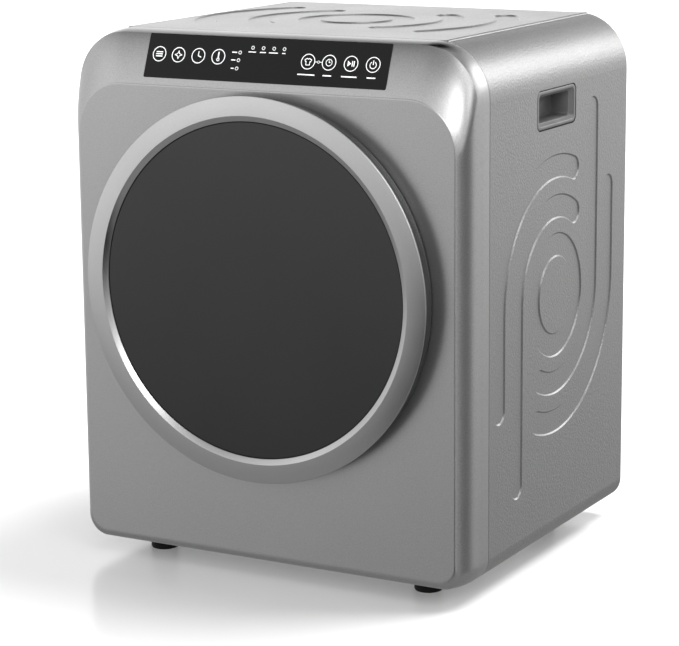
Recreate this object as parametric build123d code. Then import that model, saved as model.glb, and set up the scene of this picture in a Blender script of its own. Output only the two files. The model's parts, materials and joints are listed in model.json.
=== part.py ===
"""Compact vented tumble clothes dryer, front loading, free standing.

Everything is built in the cabinet's own frame: X to the right as seen from the front, Y from the
flat front face (y = 0) to the back, Z up from the underside of the cabinet (z = 0). Each piece
is moved to the part's frame as it is saved: origin on the floor, under the middle of the
overall box, front towards -Y.
"""
import os
from math import cos, radians, sin, sqrt

from build123d import *

# ---------------------------------------------------------------- overall sizes, millimetres
CABINET_W = 566.0
CABINET_H = 662.0
CABINET_D = 474.5
FOOT_H = 24.0
HALF_W = CABINET_W / 2
TOP_R = 70.0
BOTTOM_R = 29.0
SHEET = 1.2

# moulded front frame
FRAME_D = 58.0
FRAME_WALL = 2.6
SIDE_DROP = 17.1
SIDE_ARC_REACH = 58.0
SIDE_FULLNESS = 4.0
FACE_TOP = 597.0
FACE_CORNER_R = 63.0
STEP_Y = 6.7
STEP_Z = 605.0
SLOPE_Y = 19.3
SLOPE_Z = 49.4
BROW_R = 8.0
PANEL_W = 342.0
PANEL_H = 57.0
PANEL_UP = 29.0
PANEL_POCKET = 1.2
UNDER_R = 10.0
FACE_LOW_R = 24.0
SEAM = 1.0

# door, seen from the front
DOOR_Z = 353.0
DOOR_OUT = 29.4
RING_R = 241.0
RING_FALL = 2.2
GLASS_R = 210.0
SHELL_R = 237.0
DOOR_BACK_Y = -1.2
FACE_HOLE_R = 196.0
SEAL_R = 190.0
HINGE_X = -235.0
HINGE_Y = -16.0
KNUCKLE_R = 3.8
HINGE_HALF_H = 30.0
LEAF_HALF_H = 16.0
PIN_R = 2.0
RUNNING = 0.05

# drum and its supports
BULKHEAD_Y = 12.0
OPENING_R = 172.0
COLLAR_BACK_Y = 50.0
DRUM_R = 258.0
DRUM_FRONT_Y = 52.0
DRUM_BACK_Y = 386.0
DRUM_LIP_R = 182.0
RIM_R = 250.0
RIM_END_Y = 402.0
REAR_WALL_Y = 405.0
DOME_R = 240.0
DOME_Y = 386.8
GAP = 0.3
LIFTER_GAP = 1.0
ROLLER_R = 30.0
ROLLER_ANGLE = 35.0
AXLE_R = 5.0

# drive
MOTOR_X = 175.0
MOTOR_Z = 72.0
MOTOR_R = 50.0
SHAFT_R = 6.0
PULLEY_R = 9.5
IDLER_X = 95.0
IDLER_Z = 84.0
IDLER_R = 18.0
IDLER_AXLE_R = 4.0
BELT_Y = 246.0
BELT_W = 10.0
BELT_T = 2.5

# air path
FILTER_R = 76.0
DUCT_FRONT_Y = 407.0
DUCT_BACK_Y = 428.0
BLOWER_FRONT_Y = 430.0
BLOWER_BACK_Y = 466.0
BLOWER_R = 64.0
BLOWER_WALL = 2.4
WHEEL_R = 52.0
COLLAR_X = 40.0
COLLAR_Z = 66.0
COLLAR_R = 49.5
COLLAR_OUT = 24.0
BACK_Y = 472.5

# feet
FOOT_X = 196.0
FOOT_Y = 67.0
FOOT_R = 18.0
FOOT_BOLT_R = 4.0
TRAY_Z = 1.5

# embossed channels of the side and top sheets
EMBOSS_W = 31.0
EMBOSS_DEPTH = 1.6
EMBOSS_TAPER = 50.0
SIDE_EMBOSS = (252.0, 325.0)
TOP_EMBOSS = (-10.0, 267.0)

TOP_HALF_W = 226.5

# carrying handle in each side
GRIP_Y = 250.0
GRIP_Z = 564.0
GRIP_W = 118.0
GRIP_H = 50.0
GRIP_OPEN_W = 92.0
GRIP_OPEN_H = 32.0
GRIP_DEPTH = 30.0
GRIP_SINK = 3.5

TOTAL_D = DOOR_OUT + CABINET_D + COLLAR_OUT
TO_PART_FRAME = Pos(0, DOOR_OUT - TOTAL_D / 2, FOOT_H)
SLOPE = Plane(origin=(0, STEP_Y, STEP_Z), x_dir=(1, 0, 0), z_dir=(0, -SLOPE_Z, SLOPE_Y))


# ---------------------------------------------------------------- helpers
def save(name, shape):
    """Write one named piece, moved into the part's frame."""
    placed = TO_PART_FRAME * shape
    placed.label = name
    export_step(placed, f"parts/{name}.step")


def box(x0, x1, y0, y1, z0, z1):
    centre = Pos((x0 + x1) / 2, (y0 + y1) / 2, (z0 + z1) / 2)
    return centre * Box(x1 - x0, y1 - y0, z1 - z0)


def rod_x(radius, x0, x1, y, z):
    return Pos((x0 + x1) / 2, y, z) * Rot(0, 90, 0) * Cylinder(radius, x1 - x0)


def rod_y(radius, y0, y1, x=0.0, z=0.0):
    return Pos(x, (y0 + y1) / 2, z) * Rot(90, 0, 0) * Cylinder(radius, y1 - y0)


def rod_z(radius, z0, z1, x, y):
    return Pos(x, y, (z0 + z1) / 2) * Cylinder(radius, z1 - z0)


def ring_y(r_out, r_in, y0, y1, x=0.0, z=0.0):
    return rod_y(r_out, y0, y1, x, z) - rod_y(r_in, y0 - 1, y1 + 1, x, z)


def turned(points, x=0.0, z=0.0):
    """Solid of revolution about a line along Y, from (radius, y) points."""
    profile = make_face(Polyline(*points, close=True))
    return Pos(x, 0, z) * revolve(profile, Axis.Y, 360)


def prism_x(sketch, x0, x1):
    return extrude(Plane.YZ.offset(x0) * sketch, x1 - x0)


def prism_y(sketch, y0, y1):
    return extrude(Plane.XZ.offset(-y1) * sketch, y1 - y0)


def prism_z(sketch, z0, z1):
    return extrude(Plane.XY.offset(z0) * sketch, z1 - z0)


def hull_of(circles):
    """Outline round a few circles given as (x, z, radius)."""
    edges = []
    for x, z, radius in circles:
        edges += (Pos(x, z) * Circle(radius)).edges()
    return make_hull(edges)


def outline(half_w, bottom, top, bottom_r, top_r):
    """Upright rounded rectangle in the X-Z plane."""
    low_left = Pos(-half_w + bottom_r, bottom + bottom_r) * Circle(bottom_r)
    low_right = Pos(half_w - bottom_r, bottom + bottom_r) * Circle(bottom_r)
    high_left = Pos(-half_w + top_r, top - top_r) * Circle(top_r)
    high_right = Pos(half_w - top_r, top - top_r) * Circle(top_r)
    corners = [low_left, low_right, high_left, high_right]
    return make_hull([edge for corner in corners for edge in corner.edges()])


def cabinet_outline(inset):
    return outline(HALF_W - inset, inset, CABINET_H - inset, BOTTOM_R - inset, TOP_R - inset)


def around(radius, angle, z=DOOR_Z):
    """Point on a circle about the door's axis; angle in degrees from +X."""
    return radius * cos(radians(angle)), z + radius * sin(radians(angle))


# ---------------------------------------------------------------- front frame
def frame_half_width(y):
    """Half width at depth y: narrowest at the flat face, full at the reach of the side arc."""
    share = max(1 - y / SIDE_ARC_REACH, 0.0)
    return HALF_W - SIDE_DROP * share**SIDE_FULLNESS


def brow_span():
    """Depths at which the rounded edge above the control strip starts and ends."""
    lean = sqrt(SLOPE_Y**2 + SLOPE_Z**2)
    rise = BROW_R * (1 - SLOPE_Y / lean)
    start = STEP_Y + (CABINET_H - rise - STEP_Z) * SLOPE_Y / SLOPE_Z
    return start, start + BROW_R * SLOPE_Z / lean


def frame_top(y):
    """Height of the frame's top edge: step, leaning panel face, rounded brow, flat."""
    brow_start, brow_end = brow_span()
    if y < STEP_Y:
        return FACE_TOP + (STEP_Z - FACE_TOP) * y / STEP_Y
    if y < brow_start:
        return STEP_Z + (y - STEP_Y) * SLOPE_Z / SLOPE_Y
    if y < brow_end:
        return CABINET_H - BROW_R + sqrt(BROW_R**2 - (brow_end - y) ** 2)
    return CABINET_H


def frame_bottom(y):
    if y >= UNDER_R:
        return 0.0
    return UNDER_R - sqrt(UNDER_R**2 - (UNDER_R - y) ** 2)


def frame_section(y, wall):
    """Section of the frame at depth y; wall moves it inwards and backwards."""
    at = max(y - wall, 0.0)
    bottom_r = FACE_LOW_R + (BOTTOM_R - FACE_LOW_R) * min(at / UNDER_R, 1.0)
    top_r = FACE_CORNER_R + (TOP_R - FACE_CORNER_R) * min(at / STEP_Y, 1.0)
    face = outline(
        frame_half_width(at) - wall,
        frame_bottom(at) + wall,
        frame_top(at) - wall,
        bottom_r - wall,
        top_r - wall,
    )
    return Plane.XZ.offset(-y) * face


def frame_body(wall):
    start, end = brow_span()
    brow = [start + (end - start) * share for share in (0.0, 0.45, 0.78, 1.0)]
    depths = [0.0, 0.6, 2.0, 4.0, STEP_Y, UNDER_R, 14.0, 18.0, 23.0, *brow, 38.0, 46.0]
    sections = [frame_section(y + wall, wall) for y in depths]
    sections.append(frame_section(FRAME_D + (0.5 if wall else 0.0), wall))
    return loft(sections, ruled=True)


def make_front_frame():
    """Moulded front: leaning control strip on top, round hole with a collar behind the door."""
    frame = frame_body(0.0) - frame_body(FRAME_WALL)
    frame += ring_y(FACE_HOLE_R + FRAME_WALL, FACE_HOLE_R, 1, BULKHEAD_Y - 0.5, 0, DOOR_Z)
    frame -= rod_y(FACE_HOLE_R, -1, FRAME_WALL + 0.2, 0, DOOR_Z)
    pocket = Pos(0, PANEL_UP) * Rectangle(PANEL_W + 0.8, PANEL_H + 0.6)
    frame -= extrude(SLOPE * pocket, -PANEL_POCKET)
    frame -= latch_slot(-1, 4)
    return frame


def latch_slot(y0, y1):
    """Opening that the door's striker passes through."""
    return box(202, 219, y0, y1, DOOR_Z - 9, DOOR_Z + 9)


def make_control_glass():
    face = Pos(0, PANEL_UP) * RectangleRounded(PANEL_W, PANEL_H, 2)
    return extrude(SLOPE.offset(-PANEL_POCKET + 0.1) * face, 1.9)


def make_control_board():
    """Touch board behind the glass, with its sensor pads and light pipes."""
    board = extrude(SLOPE.offset(-14) * Pos(0, PANEL_UP) * RectangleRounded(310, 44, 2), 1.6)
    for x in (-153, -125, -96, -67, 60, 89, 119, 149):
        board += extrude(SLOPE.offset(-12.5) * Pos(x, 30) * Circle(7), 6)
    board += extrude(SLOPE.offset(-22) * Pos(20, PANEL_UP) * Rectangle(70, 20), 8.2)
    return board


# ---------------------------------------------------------------- sheet metal
def channel(radius, start, end, *tail):
    """Channel outline: an arc about the origin, then straight on to the tail point."""
    arc = CenterArc((0, 0), radius, start, end - start)
    path = Wire([arc, Line(arc @ 1, tail)]) if tail else Wire([arc])
    return Face(path.offset_2d(EMBOSS_W / 2))


def side_channels():
    """Channels of the right side in (y, z), about the middle of the emboss."""
    inner = 113.5
    outer = 164.5
    return [
        Circle(80) - Circle(49),
        channel(inner, 60.5, 180, -inner, -225),
        channel(outer, 71, 180, -outer, -118),
        channel(inner, -114, 0, inner, 225),
        channel(outer, -109, 0, outer, 117),
    ]


def top_channels():
    inner = 127.0
    outer = 197.0
    return [
        Circle(77) - Circle(46),
        channel(inner, -48, 48),
        channel(outer, -36, 36),
        channel(inner, 132, 228),
        channel(outer, 144, 216),
    ]


def emboss(sheet, plane, channels):
    """Press each channel into the sheet: hollow outside, raised inside."""
    for shape in channels:
        for face in shape.faces():
            press = extrude(plane * face, amount=-EMBOSS_DEPTH, taper=EMBOSS_TAPER)
            inside = plane.offset(-SHEET).origin - plane.origin
            sheet += Pos(*inside) * press
            sheet -= press
    return sheet


def make_side_panel():
    """Right side sheet; wraps over the top corner and a little way underneath."""
    wrap = cabinet_outline(0) - cabinet_outline(SHEET)
    wrap &= Pos(HALF_W, CABINET_H / 2) * Rectangle(2 * (HALF_W - TOP_HALF_W - 1.5), CABINET_H + 20)
    sheet = prism_y(wrap, FRAME_D + SEAM, CABINET_D)
    plane = Plane(origin=(HALF_W, SIDE_EMBOSS[0], SIDE_EMBOSS[1]), x_dir=(0, 1, 0), z_dir=(1, 0, 0))
    sheet = emboss(sheet, plane, side_channels())
    hole = Pos(GRIP_Y, GRIP_Z) * RectangleRounded(GRIP_W + 0.6, GRIP_H + 0.6, 10.3)
    return sheet - prism_x(hole, HALF_W - 10, HALF_W + 1)


def make_top_panel():
    half = TOP_HALF_W
    z0 = CABINET_H - SHEET
    length = CABINET_D - FRAME_D - SEAM
    middle = Pos(0, FRAME_D + SEAM + length / 2)
    sheet = prism_z(middle * RectangleRounded(2 * half, length, 3), z0, CABINET_H)
    rim = middle * RectangleRounded(2 * half, length, 3)
    rim -= middle * RectangleRounded(2 * (half - SHEET), length - 2 * SHEET, 1.8)
    sheet += prism_z(rim, z0 - 9, z0)
    plane = Plane(origin=(TOP_EMBOSS[0], TOP_EMBOSS[1], CABINET_H), x_dir=(1, 0, 0), z_dir=(0, 0, 1))
    return emboss(sheet, plane, top_channels())


def make_back_panel():
    panel = prism_y(cabinet_outline(1.6), BACK_Y, BACK_Y + 1.4)
    panel -= rod_y(COLLAR_R + 2, BACK_Y - 1, BACK_Y + 3, COLLAR_X, COLLAR_Z)
    panel -= box(-TOP_HALF_W - 1.5, TOP_HALF_W + 1.5, BACK_Y - 1, BACK_Y + 3, CABINET_H - 11, CABINET_H)
    panel -= box(-85, 85, BACK_Y - 1, BACK_Y + 3, 450, 550)
    panel -= rod_y(9, BACK_Y - 1, BACK_Y + 3, -205, 90)
    return panel


def make_base_pan():
    """Floor tray resting on the inturned edges of the side sheets."""
    y0 = FRAME_D + 1.5
    y1 = BACK_Y - 1
    pan = box(-254, 254, y0, y1, TRAY_Z, TRAY_Z + SHEET)
    pan += box(-238, 238, y1 - SHEET, y1, TRAY_Z, TRAY_Z + 5)
    for side in (-1, 1):
        edge = sorted((side * 254, side * (254 - SHEET)))
        pan += box(*edge, y0, y1, TRAY_Z, TRAY_Z + 14)
    for x, y in foot_places().values():
        pan -= rod_z(FOOT_BOLT_R, -1, 10, x, y)
    return pan


def make_front_bulkhead():
    """Steel wall behind the front, with the drum opening's collar."""
    plate = outline(264, 24, 596, 16, 58)
    wall = prism_y(plate, BULKHEAD_Y, BULKHEAD_Y + SHEET)
    wall -= rod_y(OPENING_R + 0.5, 0, 30, 0, DOOR_Z)
    collar = ring_y(OPENING_R + SHEET, OPENING_R, BULKHEAD_Y, COLLAR_BACK_Y, 0, DOOR_Z)
    wall += collar
    return wall - latch_slot(5, 20)


def make_rear_bulkhead():
    """Fixed wall that closes the drum's rear: drawn dome, hot-air holes, filter hole."""
    plate = outline(278, 108, CABINET_H - 12, 8, 50)
    wall = prism_y(plate, REAR_WALL_Y, REAR_WALL_Y + SHEET)
    wall -= rod_y(DOME_R - 0.6, REAR_WALL_Y - 1, REAR_WALL_Y + 3, 0, DOOR_Z)
    dome = [
        (FILTER_R, DOME_Y), (DOME_R, DOME_Y), (DOME_R, REAR_WALL_Y + SHEET),
        (DOME_R - SHEET, REAR_WALL_Y + SHEET), (DOME_R - SHEET, DOME_Y + SHEET),
        (FILTER_R, DOME_Y + SHEET),
    ]
    wall += turned(dome, 0, DOOR_Z)
    for row in range(6):
        for column in range(7):
            x = (column - 3) * 18.0 + (row % 2) * 9.0 - 4.5
            wall -= rod_y(4, DOME_Y - 1, DOME_Y + 3, x, 466 + row * 14.0)
    return wall


def make_handle_cup():
    """Finger recess that snaps into the right side sheet."""
    mouth = Pos(GRIP_Y, GRIP_Z) * RectangleRounded(GRIP_OPEN_W, GRIP_OPEN_H, 4)
    face = Pos(GRIP_Y, GRIP_Z) * RectangleRounded(GRIP_W, GRIP_H, 10)
    flange = Pos(GRIP_Y, GRIP_Z) * RectangleRounded(GRIP_W + 12, GRIP_H + 12, 12)
    body = Pos(GRIP_Y, GRIP_Z) * RectangleRounded(GRIP_OPEN_W + 5, GRIP_OPEN_H + 5, 6)
    inner_face = Pos(GRIP_Y, GRIP_Z) * RectangleRounded(GRIP_W - 5, GRIP_H - 5, 8)
    cup = prism_x(face, HALF_W - GRIP_SINK - 2, HALF_W)
    cup += prism_x(flange, HALF_W - GRIP_SINK - 1, HALF_W - SHEET - 0.2)
    cup += prism_x(body, HALF_W - GRIP_DEPTH - 2.5, HALF_W - GRIP_SINK)
    cup -= prism_x(inner_face, HALF_W - GRIP_SINK, HALF_W + 1)
    return cup - prism_x(mouth, HALF_W - GRIP_DEPTH, HALF_W + 1)


def foot_places():
    """Middle of each foot, by name."""
    rows = (("front", FOOT_Y), ("rear", CABINET_D - FOOT_Y))
    columns = (("left", -FOOT_X), ("right", FOOT_X))
    return {f"foot_{row}_{side}": (x, y) for row, y in rows for side, x in columns}


def make_foot(x, y):
    """Rubber foot, slightly wider near the floor, bored for its bolt."""
    profile = [(0, 0), (FOOT_R - 1.5, 0), (FOOT_R, 2 - FOOT_H), (FOOT_R - 1, -FOOT_H), (0, -FOOT_H)]
    foot = Pos(x, y, 0) * Rot(90, 0, 0) * turned(profile)
    return foot - rod_z(FOOT_BOLT_R, -14, 5, x, y)


def make_foot_bolts():
    bolts = []
    for x, y in foot_places().values():
        bolt = rod_z(FOOT_BOLT_R, -14, 10, x, y)
        bolt += prism_z(Pos(x, y) * RegularPolygon(7.5, 6), TRAY_Z + SHEET, 8.0)
        bolts.append(bolt)
    return Compound(children=bolts)


def screw_heads(places, y0, y1, radius=4.0):
    heads = [rod_y(radius, y0, y1, x, z) for x, z in places]
    return Compound(children=heads)


def edge_places(half_w, low, high, rows):
    """Screw places down both edges and across the top and bottom."""
    places = []
    for row in range(rows):
        z = low + 60 + (high - low - 120) * row / (rows - 1)
        places += [(-half_w, z), (half_w, z)]
    places += [(-90, low), (130, low), (-100, high), (100, high)]
    return places


# ---------------------------------------------------------------- door
def make_door_ring():
    """Silver ring: chamfer down to the glass inside, face falling gently away outside."""
    face = -DOOR_OUT
    ring = [
        (GLASS_R, -25.2), (GLASS_R, -26.0), (GLASS_R + 8, face), (RING_R - 1.0, face + RING_FALL),
        (RING_R, face + RING_FALL + 0.8), (RING_R, -25.2),
    ]
    return turned(ring, 0, DOOR_Z)


def make_door_glass():
    return rod_y(GLASS_R + 4, -25, -21, 0, DOOR_Z)


def hinge_notch():
    """Room for the hinge in the door's left edge."""
    half = HINGE_HALF_H + 7
    return box(-245, -215, -20.4, 3, DOOR_Z - half, DOOR_Z + half)


def make_door_shell():
    """Dark door body behind the ring; carries the glass on an inner ledge."""
    inner = SHELL_R - 2.6
    shell = [
        (SHELL_R, -25), (SHELL_R, DOOR_BACK_Y), (inner, DOOR_BACK_Y), (inner, -18), (200, -18),
        (200, -20.7), (GLASS_R + 4.3, -20.7), (GLASS_R + 4.3, -25),
    ]
    return turned(shell, 0, DOOR_Z) - hinge_notch()


def make_door_liner():
    return ring_y(SHELL_R - 2.9, 160, DOOR_BACK_Y - 2.5, DOOR_BACK_Y, 0, DOOR_Z) - hinge_notch()


def make_door_bowl():
    """Clear bowl that reaches into the drum opening and keeps clothes off the door."""
    flange = DOOR_BACK_Y - 2.6
    bowl = [
        (176, flange), (159, flange), (157.5, 10), (149, 32), (130, 43), (0, 49), (0, 46),
        (128.5, 40.2), (146.3, 30), (154.5, 9.5), (156, flange - 2.6), (176, flange - 2.6),
    ]
    return turned(bowl, 0, DOOR_Z)


def make_door_seal():
    seal = [
        (176, DOOR_BACK_Y), (SEAL_R, DOOR_BACK_Y), (SEAL_R, 4), (187, 8.5), (186, BULKHEAD_Y - 0.4),
        (180, BULKHEAD_Y - 0.4), (179, 8.5), (176, 4),
    ]
    return turned(seal, 0, DOOR_Z)


def make_hinge_bracket():
    """Fixed half of the hinge: two ears standing off the front face."""
    half = HINGE_HALF_H + 4
    bracket = box(-238, -216, -2, 0, DOOR_Z - half, DOOR_Z + half)
    height = HINGE_HALF_H - LEAF_HALF_H - 1
    for low in (DOOR_Z - HINGE_HALF_H, DOOR_Z + LEAF_HALF_H + 1):
        bracket += box(HINGE_X - 3, HINGE_X + 3, HINGE_Y, -1, low, low + height)
        bracket += rod_z(KNUCKLE_R, low, low + height, HINGE_X, HINGE_Y)
    return bracket - rod_z(PIN_R, DOOR_Z - 60, DOOR_Z + 60, HINGE_X, HINGE_Y)


def make_hinge_pin():
    return rod_z(PIN_R, DOOR_Z - HINGE_HALF_H - 1, DOOR_Z + HINGE_HALF_H + 1, HINGE_X, HINGE_Y)


def make_hinge_leaf():
    """Moving half of the hinge, screwed behind the glass ledge."""
    half = LEAF_HALF_H
    leaf = rod_z(KNUCKLE_R, DOOR_Z - half, DOOR_Z + half, HINGE_X, HINGE_Y)
    leaf += box(HINGE_X, -196, -18, -15, DOOR_Z - half, DOOR_Z + half)
    leaf += box(-213, -198, -18, -15, DOOR_Z - half - 14, DOOR_Z + half + 14)
    return leaf - rod_z(PIN_R + RUNNING, DOOR_Z - 60, DOOR_Z + 60, HINGE_X, HINGE_Y)


def make_door_striker():
    back = DOOR_BACK_Y
    striker = box(204, 220, back, back + 1, DOOR_Z - 14, DOOR_Z + 14)
    striker += box(209, 213, back, 24, DOOR_Z - 6, DOOR_Z + 6)
    striker += box(206, 213, 20, 24, DOOR_Z - 6, DOOR_Z + 6)
    return striker


def make_latch_housing():
    housing = box(195, 224, BULKHEAD_Y + SHEET, 40, DOOR_Z - 18, DOOR_Z + 18)
    return housing - latch_slot(10, 30)


def make_door_switch():
    switch = box(199, 219, BULKHEAD_Y + SHEET, 30, DOOR_Z + 18, DOOR_Z + 30)
    return switch + box(207, 211, 30, 34, DOOR_Z + 22, DOOR_Z + 26)


# ---------------------------------------------------------------- drum
def make_drum():
    """Thin steel drum: front wall with a lip, plain shell, stepped-in rear rim."""
    inner = DRUM_R - SHEET
    back = DRUM_BACK_Y
    shell = [
        (DRUM_LIP_R + SHEET, 40), (DRUM_LIP_R + SHEET, DRUM_FRONT_Y), (DRUM_R, DRUM_FRONT_Y),
        (DRUM_R, back), (RIM_R, back), (RIM_R, RIM_END_Y), (RIM_R - SHEET, RIM_END_Y),
        (RIM_R - SHEET, back - SHEET), (inner, back - SHEET), (inner, DRUM_FRONT_Y + SHEET),
        (DRUM_LIP_R, DRUM_FRONT_Y + SHEET), (DRUM_LIP_R, 40),
    ]
    return turned(shell, 0, DOOR_Z)


def make_drum_lifters():
    """Three hollow-looking vanes that lift the load, spaced evenly round the drum."""
    vane = Polygon((-40, 262), (-9, 206), (9, 206), (40, 262), align=None)
    vane += Pos(0, 209) * Circle(10.2)
    vane &= Circle(DRUM_R - SHEET - LIFTER_GAP)
    solid = prism_y(vane, 72, 372)
    vanes = [Pos(0, 0, DOOR_Z) * Rot(0, angle, 0) * solid for angle in (30, 150, 270)]
    return Compound(children=vanes)


def make_front_glide():
    return ring_y(DRUM_LIP_R - GAP, OPENING_R + SHEET, 16, COLLAR_BACK_Y, 0, DOOR_Z)


def make_rear_felt():
    return ring_y(RIM_R - SHEET - GAP, DOME_R, 389, 400, 0, DOOR_Z)


def roller_place(side):
    reach = RIM_R + ROLLER_R + GAP
    return around(reach, 270 + side * ROLLER_ANGLE)


def make_roller(side):
    """Support roller: rubber tyre on a hub, turning on a fixed stub axle."""
    x, z = roller_place(side)
    profile = [
        (AXLE_R + RUNNING, 386), (12, 386), (12, 389), (26, 389), (26, 387.5), (ROLLER_R - 1, 387.5),
        (ROLLER_R, 388.5), (ROLLER_R, 398), (ROLLER_R - 1, 399), (26, 399), (26, 397.5),
        (12, 397.5), (12, 400), (AXLE_R + RUNNING, 400),
    ]
    return turned(profile, x, z)


def make_roller_axles():
    axles = []
    for side in (-1, 1):
        x, z = roller_place(side)
        axle = rod_y(AXLE_R, 383, REAR_WALL_Y, x, z)
        axle += rod_y(9, 401.5, REAR_WALL_Y, x, z)
        axle += rod_y(8, 382, 385, x, z)
        axles.append(axle)
    return Compound(children=axles)


# ---------------------------------------------------------------- drive
def make_belt():
    """Poly-V belt round the drum, the motor pulley and the tension idler."""
    def loop(extra):
        return hull_of([
            (0, DOOR_Z, DRUM_R + extra),
            (MOTOR_X, MOTOR_Z, PULLEY_R + extra),
            (IDLER_X, IDLER_Z, IDLER_R + extra),
        ])
    return prism_y(loop(GAP + BELT_T) - loop(GAP), BELT_Y - BELT_W / 2, BELT_Y + BELT_W / 2)


def flanged_pulley(radius, flange, bore, x, z):
    y0 = BELT_Y - BELT_W / 2
    y1 = BELT_Y + BELT_W / 2
    profile = [
        (bore, y0 - 3), (flange, y0 - 3), (flange, y0 - 1), (radius, y0 - 1), (radius, y1 + 1),
        (flange, y1 + 1), (flange, y1 + 3), (bore, y1 + 3),
    ]
    return turned(profile, x, z)


def make_motor_stator():
    """Motor case with end bells; the rotor turns inside it."""
    case = [
        (SHAFT_R + RUNNING, 272), (14, 272), (18, 278), (44, 280), (MOTOR_R, 286), (MOTOR_R, 368),
        (44, 374), (18, 376), (14, 381), (SHAFT_R + RUNNING, 381), (SHAFT_R + RUNNING, 368),
        (34, 366), (34, 358), (28.4, 358), (28.4, 296), (34, 296), (34, 288), (SHAFT_R + RUNNING, 286),
    ]
    return turned(case, MOTOR_X, MOTOR_Z)


def make_motor_rotor():
    rotor = rod_y(SHAFT_R, 238, 463.2, MOTOR_X, MOTOR_Z)
    return rotor + rod_y(28.0, 299, 355, MOTOR_X, MOTOR_Z)


def make_motor_bracket():
    """Cradle under the motor, standing on the floor tray."""
    cradle = box(MOTOR_X - 46, MOTOR_X + 46, 296, 358, 3, 6)
    for y in (298, 352):
        cradle += box(MOTOR_X - 42, MOTOR_X + 42, y, y + 4, 5, MOTOR_Z - 22)
    cradle += box(104, MOTOR_X - 42, 262, 300, 3, 6)
    cradle += box(104, 142, 262, 265, 5, 52)
    return cradle - rod_y(MOTOR_R, 200, 400, MOTOR_X, MOTOR_Z)


def make_idler_arm():
    """Arm that holds the idler against the belt, bolted to the motor cradle."""
    arm = prism_y(hull_of([(IDLER_X, IDLER_Z, 9), (126, 36, 9)]), 258.5, 262)
    arm += rod_y(IDLER_AXLE_R, 236, 259, IDLER_X, IDLER_Z)
    arm += rod_y(7, 234, 237, IDLER_X, IDLER_Z)
    return arm + rod_y(6, 255, 259, 126, 36)


def make_idler_spring():
    """Coil spring between the arm and the floor tray."""
    coil = Helix(pitch=3.2, height=32, radius=5)
    start = Plane(origin=coil @ 0, z_dir=coil % 0)
    wire = sweep(start * Circle(0.8), path=coil)
    return Pos(IDLER_X, 268, 22) * wire


def make_blower_wheel():
    """Squirrel-cage impeller: back plate, blades and a front ring."""
    wheel = rod_y(WHEEL_R, 459.5, 461.5, MOTOR_X, MOTOR_Z)
    wheel += rod_y(13, 446, 460, MOTOR_X, MOTOR_Z)
    wheel += ring_y(WHEEL_R, 42, 436, 437.6, MOTOR_X, MOTOR_Z)
    for index in range(20):
        blade = Pos(47, 0, 0) * Rot(0, 28, 0) * Box(11, 23.2, 1.4)
        wheel += Pos(MOTOR_X, 448.4, MOTOR_Z) * Rot(0, index * 18, 0) * blade
    return wheel - rod_y(SHAFT_R, 430, 470, MOTOR_X, MOTOR_Z)


# ---------------------------------------------------------------- air path
def make_filter_frame():
    """Round lint filter that pulls out of the drum's rear wall by its bar."""
    frame = ring_y(FILTER_R - 0.4, 67, 383, 402, 0, DOOR_Z)
    frame += ring_y(FILTER_R + 8, 67, 382, DOME_Y - 0.4, 0, DOOR_Z)
    frame += box(-69, 69, 376, 384, DOOR_Z - 7, DOOR_Z + 7)
    for angle in (0, 60, 120):
        rib = Pos(0, 399.5, DOOR_Z) * Rot(0, angle, 0) * Box(138, 4, 3)
        frame += rib
    return frame


def make_filter_mesh():
    return rod_y(67, 396, 397.5, 0, DOOR_Z)


def make_suction_duct():
    """Flat duct from the filter down to the blower's eye."""
    outer = hull_of([(0, DOOR_Z, 86), (MOTOR_X, MOTOR_Z, 50)])
    inner = hull_of([(0, DOOR_Z, 84), (MOTOR_X, MOTOR_Z, 48)])
    duct = prism_y(outer, DUCT_FRONT_Y, DUCT_BACK_Y)
    duct -= prism_y(inner, DUCT_FRONT_Y + 2, DUCT_BACK_Y - 2)
    duct -= rod_y(FILTER_R + 2, DUCT_FRONT_Y - 1, DUCT_FRONT_Y + 3, 0, DOOR_Z)
    duct -= rod_y(SHAFT_R + 3, DUCT_FRONT_Y - 1, DUCT_FRONT_Y + 3, MOTOR_X, MOTOR_Z)
    return duct - rod_y(36, DUCT_BACK_Y - 3, DUCT_BACK_Y + 1, MOTOR_X, MOTOR_Z)


def blower_outline(wall):
    return hull_of([(MOTOR_X, MOTOR_Z, BLOWER_R - wall), (COLLAR_X, COLLAR_Z, 57 - wall)])


def make_blower_housing():
    """Scroll round the wheel with a straight run to the outlet; open at the front."""
    housing = prism_y(blower_outline(0), BLOWER_FRONT_Y + BLOWER_WALL, BLOWER_BACK_Y)
    housing -= prism_y(blower_outline(BLOWER_WALL), BLOWER_FRONT_Y, BLOWER_BACK_Y - BLOWER_WALL)
    housing += box(110, 112.4, BLOWER_FRONT_Y + BLOWER_WALL, BLOWER_BACK_Y - 2, 84, 130)
    return housing - rod_y(47, BLOWER_BACK_Y - 3, BLOWER_BACK_Y + 1, COLLAR_X, COLLAR_Z)


def make_blower_cover():
    """Front plate of the blower, with the eye that meets the suction duct."""
    cover = prism_y(blower_outline(0), BLOWER_FRONT_Y, BLOWER_FRONT_Y + BLOWER_WALL)
    cover += ring_y(39, 36, DUCT_BACK_Y, BLOWER_FRONT_Y + 1, MOTOR_X, MOTOR_Z)
    return cover - rod_y(36, BLOWER_FRONT_Y - 1, BLOWER_FRONT_Y + 3, MOTOR_X, MOTOR_Z)


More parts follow.
